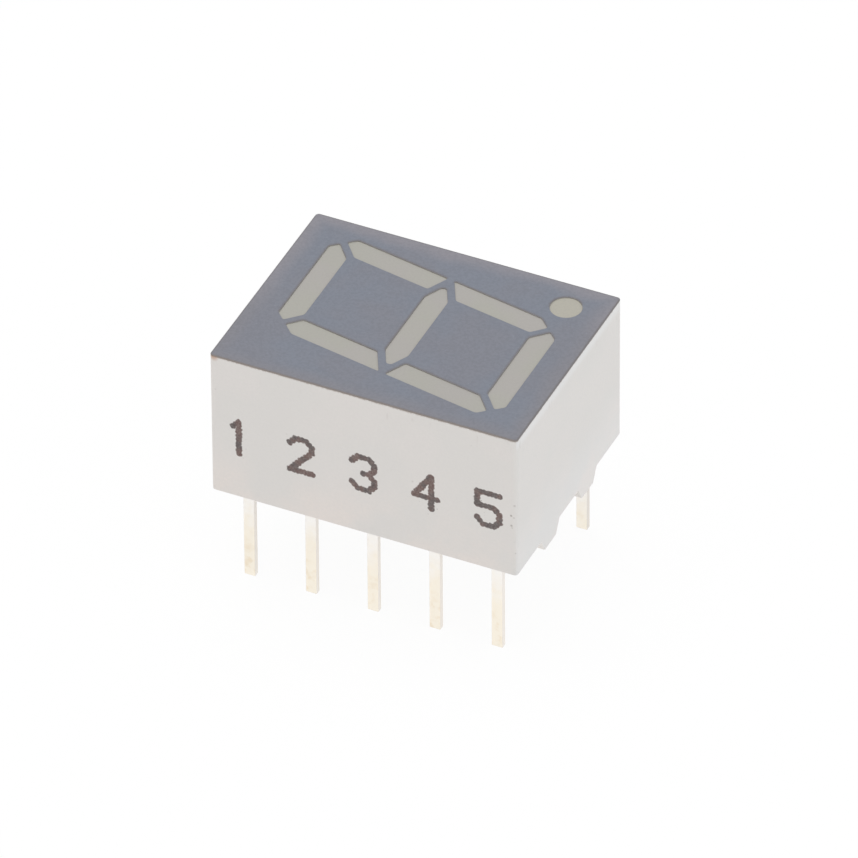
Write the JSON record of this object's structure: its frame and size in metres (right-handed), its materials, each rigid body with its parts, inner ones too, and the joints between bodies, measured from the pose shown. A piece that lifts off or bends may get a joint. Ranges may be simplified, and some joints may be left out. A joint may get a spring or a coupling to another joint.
{
  "type": "seven segment display",
  "caption": "Through-hole light emitting display with a leaning digit and a decimal point in a grey face, on a white housing with straight leads.",
  "frame": {"origin": "centre of the lead pattern, in the plane that the four feet stand on", "axes": "+X along the rows of leads, from the digit's top to its foot; +Y from the digit's left to its right; +Z out of the front face; the leads point along -Z"},
  "size_m": [0.0124, 0.0094, 0.0107],
  "materials": {
    "housing": "satin",
    "coat": "matte",
    "resin": "satin",
    "leads": "satin",
    "dice": "satin",
    "wires": "polished"
  },
  "bodies": {
    "root": {"reflector_housing": "housing", "face_coat": "coat", "resin_fill": "resin", "lead_common": "leads", "lead_a": "leads", "lead_b": "leads", "lead_c": "leads", "lead_d": "leads", "lead_e": "leads", "lead_f": "leads", "lead_g": "leads", "lead_point": "leads", "die_a": "dice", "die_b": "dice", "die_c": "dice", "die_d": "dice", "die_e": "dice", "die_f": "dice", "die_g": "dice", "die_point": "dice", "wire_a": "wires", "wire_b": "wires", "wire_c": "wires", "wire_d": "wires", "wire_e": "wires", "wire_f": "wires", "wire_g": "wires", "wire_point": "wires"}
  },
  "joints": []
}
